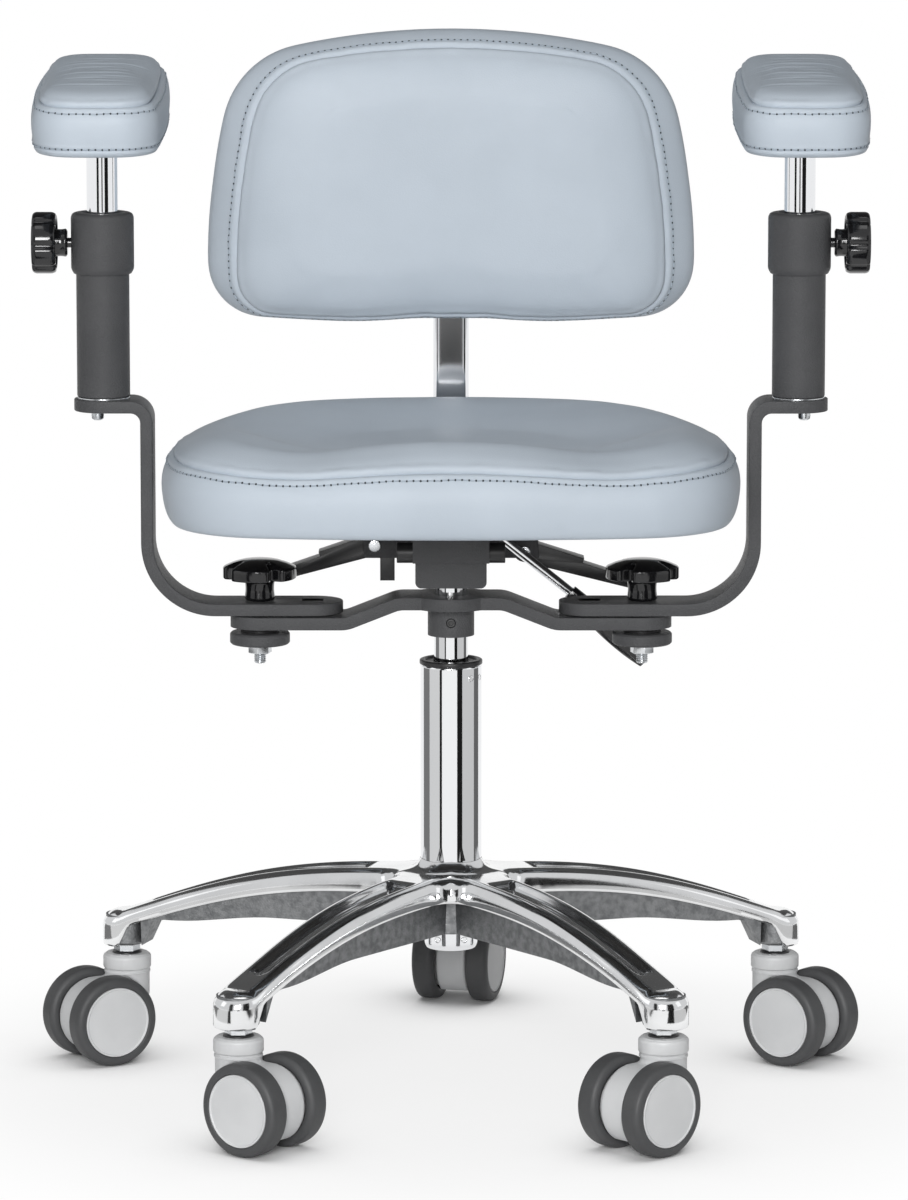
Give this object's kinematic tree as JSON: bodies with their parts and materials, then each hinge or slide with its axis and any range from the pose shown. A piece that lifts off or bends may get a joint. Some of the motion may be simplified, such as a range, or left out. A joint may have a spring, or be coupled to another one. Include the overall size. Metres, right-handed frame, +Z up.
{
  "type": "microscope chair",
  "caption": "Microscope chair: padded seat, backrest and swinging arm rests on a gas lift and a polished star base with twin-wheel castors.",
  "frame": {"origin": "on the floor, under the column's axis", "axes": "+Z up; the sitter faces -Y; +X is to the right as seen from the front"},
  "size_m": [0.682, 0.652, 0.853],
  "materials": {
    "upholstery": "smooth satin vinyl",
    "chrome": "bright plated",
    "polished_aluminium": "polished, with raw cast webs",
    "black_powder_coat": "fine textured powder coat",
    "black_plastic": "gloss",
    "shell_plastic": "matt",
    "zinc_steel": "zinc plated",
    "grey_plastic": "satin",
    "grey_tread": "soft rubber",
    "board": "plywood"
  },
  "bodies": {
    "base": {"base_casting": "polished_aluminium", "column_tube": "chrome", "column_bush": "black_plastic", "thrust_bearing": "zinc_steel", "caster_stems": "zinc_steel"},
    "piston": {"piston_rod": "chrome"},
    "chassis": {"gas_cylinder": "chrome", "arm_carrier": "black_powder_coat", "set_screw": "zinc_steel", "arm_pivot_bolts": "zinc_steel", "friction_discs": "black_powder_coat", "mechanism_housing": "black_powder_coat", "pivot_pins": "zinc_steel"},
    "valve": {"valve_pin": "zinc_steel"},
    "height_lever": {"height_lever_rod": "chrome", "height_lever_grip": "black_plastic"},
    "seat": {"seat_carrier": "black_powder_coat", "lever_pins": "zinc_steel", "seat_board": "board", "seat_cushion": "upholstery"},
    "tilt_lever": {"tilt_lever": "black_plastic"},
    "back_lever": {"back_lever": "black_plastic"},
    "back_arm": {"back_bar": "chrome"},
    "backrest": {"back_clamp": "black_powder_coat", "back_shell": "shell_plastic", "back_cushion": "upholstery"},
    "back_knob": {"back_knob": "black_plastic"},
    "right_arm": {"right_swing_bar": "black_powder_coat", "right_post_tube": "black_powder_coat", "right_post_bolt": "zinc_steel", "right_clamp_collar": "black_powder_coat"},
    "right_star_knob": {"right_star_knob": "black_plastic"},
    "right_pad_rod": {"right_pad_rod": "chrome"},
    "right_pad": {"right_pad_plate": "board", "right_pad_cushion": "upholstery"},
    "right_clamp_knob": {"right_clamp_knob": "black_plastic"},
    "left_arm": {"left_swing_bar": "black_powder_coat", "left_post_tube": "black_powder_coat", "left_post_bolt": "zinc_steel", "left_clamp_collar": "black_powder_coat"},
    "left_star_knob": {"left_star_knob": "black_plastic"},
    "left_pad_rod": {"left_pad_rod": "chrome"},
    "left_pad": {"left_pad_plate": "board", "left_pad_cushion": "upholstery"},
    "left_clamp_knob": {"left_clamp_knob": "black_plastic"},
    "caster_1": {"caster_1_fork": "grey_plastic"},
    "caster_1_wheel_a": {"caster_1_wheel_a": "grey_tread"},
    "caster_1_wheel_b": {"caster_1_wheel_b": "grey_tread"},
    "caster_2": {"caster_2_fork": "grey_plastic"},
    "caster_2_wheel_a": {"caster_2_wheel_a": "grey_tread"},
    "caster_2_wheel_b": {"caster_2_wheel_b": "grey_tread"},
    "caster_3": {"caster_3_fork": "grey_plastic"},
    "caster_3_wheel_a": {"caster_3_wheel_a": "grey_tread"},
    "caster_3_wheel_b": {"caster_3_wheel_b": "grey_tread"},
    "caster_4": {"caster_4_fork": "grey_plastic"},
    "caster_4_wheel_a": {"caster_4_wheel_a": "grey_tread"},
    "caster_4_wheel_b": {"caster_4_wheel_b": "grey_tread"},
    "caster_5": {"caster_5_fork": "grey_plastic"},
    "caster_5_wheel_a": {"caster_5_wheel_a": "grey_tread"},
    "caster_5_wheel_b": {"caster_5_wheel_b": "grey_tread"}
  },
  "joints": [
    {"name": "seat_swivel", "type": "hinge", "parent": "base", "child": "piston", "pos_m": [0, 0, 0.2], "axis": [0, 0, 1], "continuous": true},
    {"name": "seat_lift", "type": "slide", "parent": "piston", "child": "chassis", "axis": [0, 0, 1], "range_m": [-0.012, 0.11]},
    {"name": "height_lever_lift", "type": "hinge", "parent": "chassis", "child": "height_lever", "pos_m": [0.02, 0.046, 0.4625], "axis": [0, -1, 0], "range_deg": [0, 8], "stiffness_Nm_per_rad": 2},
    {"name": "valve_press", "type": "slide", "parent": "chassis", "child": "valve", "axis": [0, 0, -1], "range_m": [0, 0.004]},
    {"name": "seat_tilt", "type": "hinge", "parent": "chassis", "child": "seat", "pos_m": [0, -0.03, 0.444], "axis": [1, 0, 0], "range_deg": [0, 12]},
    {"name": "tilt_lever_lift", "type": "hinge", "parent": "seat", "child": "tilt_lever", "pos_m": [-0.063, 0.064, 0.4365], "axis": [0, 1, 0], "range_deg": [0, 12], "stiffness_Nm_per_rad": 2},
    {"name": "back_lever_lift", "type": "hinge", "parent": "seat", "child": "back_lever", "pos_m": [0.0605, 0.064, 0.431], "axis": [0, -1, 0], "range_deg": [0, 12], "stiffness_Nm_per_rad": 2},
    {"name": "back_tilt", "type": "hinge", "parent": "chassis", "child": "back_arm", "pos_m": [0, 0.078, 0.446], "axis": [-1, 0, 0], "range_deg": [-3, 15]},
    {"name": "back_height", "type": "slide", "parent": "back_arm", "child": "backrest", "axis": [0, 0, 1], "range_m": [-0.03, 0.045]},
    {"name": "back_knob_turn", "type": "hinge", "parent": "backrest", "child": "back_knob", "pos_m": [0, 0.254, 0.702], "axis": [0, 1, 0], "range_deg": [0, 360]},
    {"name": "right_arm_swing", "type": "hinge", "parent": "chassis", "child": "right_arm", "pos_m": [0.156, 0, 0.3905], "axis": [0, 0, 1], "range_deg": [-12, 20]},
    {"name": "right_star_knob_turn", "type": "hinge", "parent": "chassis", "child": "right_star_knob", "pos_m": [0.156, 0, 0.3905], "axis": [0, 0, 1], "range_deg": [0, 360]},
    {"name": "right_pad_lift", "type": "slide", "parent": "right_arm", "child": "right_pad_rod", "axis": [0, 0, 1], "range_m": [-0.04, 0.05]},
    {"name": "right_pad_swivel", "type": "hinge", "parent": "right_pad_rod", "child": "right_pad", "pos_m": [0.282, 0, 0.783], "axis": [0, 0, 1], "continuous": true},
    {"name": "right_clamp_knob_turn", "type": "hinge", "parent": "right_arm", "child": "right_clamp_knob", "pos_m": [0.3075, 0, 0.693], "axis": [1, 0, 0], "range_deg": [0, 360]},
    {"name": "left_arm_swing", "type": "hinge", "parent": "chassis", "child": "left_arm", "pos_m": [-0.156, 0, 0.3905], "axis": [0, 0, -1], "range_deg": [-12, 20]},
    {"name": "left_star_knob_turn", "type": "hinge", "parent": "chassis", "child": "left_star_knob", "pos_m": [-0.156, 0, 0.3905], "axis": [0, 0, 1], "range_deg": [0, 360]},
    {"name": "left_pad_lift", "type": "slide", "parent": "left_arm", "child": "left_pad_rod", "axis": [0, 0, 1], "range_m": [-0.04, 0.05]},
    {"name": "left_pad_swivel", "type": "hinge", "parent": "left_pad_rod", "child": "left_pad", "pos_m": [-0.282, 0, 0.783], "axis": [0, 0, 1], "continuous": true},
    {"name": "left_clamp_knob_turn", "type": "hinge", "parent": "left_arm", "child": "left_clamp_knob", "pos_m": [-0.3075, 0, 0.693], "axis": [-1, 0, 0], "range_deg": [0, 360]},
    {"name": "caster_1_swivel", "type": "hinge", "parent": "base", "child": "caster_1", "pos_m": [0.27105, 0.08807, 0.089], "axis": [0, 0, 1], "continuous": true},
    {"name": "caster_1_roll_a", "type": "hinge", "parent": "caster_1", "child": "caster_1_wheel_a", "pos_m": [0.29233, 0.07145, 0.0375], "axis": [0.6157, 0.788, 0], "continuous": true},
    {"name": "caster_1_roll_b", "type": "hinge", "parent": "caster_1", "child": "caster_1_wheel_b", "pos_m": [0.29233, 0.07145, 0.0375], "axis": [0.6157, 0.788, 0], "continuous": true},
    {"name": "caster_2_swivel", "type": "hinge", "parent": "base", "child": "caster_2", "pos_m": [0, 0.285, 0.089], "axis": [0, 0, 1], "continuous": true},
    {"name": "caster_2_roll_a", "type": "hinge", "parent": "caster_2", "child": "caster_2_wheel_a", "pos_m": [0.00699, 0.31108, 0.0375], "axis": [-0.9659, 0.2588, 0], "continuous": true},
    {"name": "caster_2_roll_b", "type": "hinge", "parent": "caster_2", "child": "caster_2_wheel_b", "pos_m": [0.00699, 0.31108, 0.0375], "axis": [-0.9659, 0.2588, 0], "continuous": true},
    {"name": "caster_3_swivel", "type": "hinge", "parent": "base", "child": "caster_3", "pos_m": [-0.27105, 0.08807, 0.089], "axis": [0, 0, 1], "continuous": true},
    {"name": "caster_3_roll_a", "type": "hinge", "parent": "caster_3", "child": "caster_3_wheel_a", "pos_m": [-0.29419, 0.07416, 0.0375], "axis": [0.515, -0.8572, 0], "continuous": true},
    {"name": "caster_3_roll_b", "type": "hinge", "parent": "caster_3", "child": "caster_3_wheel_b", "pos_m": [-0.29419, 0.07416, 0.0375], "axis": [0.515, -0.8572, 0], "continuous": true},
    {"name": "caster_4_swivel", "type": "hinge", "parent": "base", "child": "caster_4", "pos_m": [-0.16752, -0.23057, 0.089], "axis": [0, 0, 1], "continuous": true},
    {"name": "caster_4_roll_a", "type": "hinge", "parent": "caster_4", "child": "caster_4_wheel_a", "pos_m": [-0.14654, -0.24756, 0.0375], "axis": [0.6293, 0.7771, 0], "continuous": true},
    {"name": "caster_4_roll_b", "type": "hinge", "parent": "caster_4", "child": "caster_4_wheel_b", "pos_m": [-0.14654, -0.24756, 0.0375], "axis": [0.6293, 0.7771, 0], "continuous": true},
    {"name": "caster_5_swivel", "type": "hinge", "parent": "base", "child": "caster_5", "pos_m": [0.16752, -0.23057, 0.089], "axis": [0, 0, 1], "continuous": true},
    {"name": "caster_5_roll_a", "type": "hinge", "parent": "caster_5", "child": "caster_5_wheel_a", "pos_m": [0.1481, -0.24933, 0.0375], "axis": [0.6947, -0.7193, 0], "continuous": true},
    {"name": "caster_5_roll_b", "type": "hinge", "parent": "caster_5", "child": "caster_5_wheel_b", "pos_m": [0.1481, -0.24933, 0.0375], "axis": [0.6947, -0.7193, 0], "continuous": true}
  ],
  "couplings": [
    {"joint": "valve_press", "follows": "height_lever_lift", "m_per_rad": 0.0245}
  ]
}
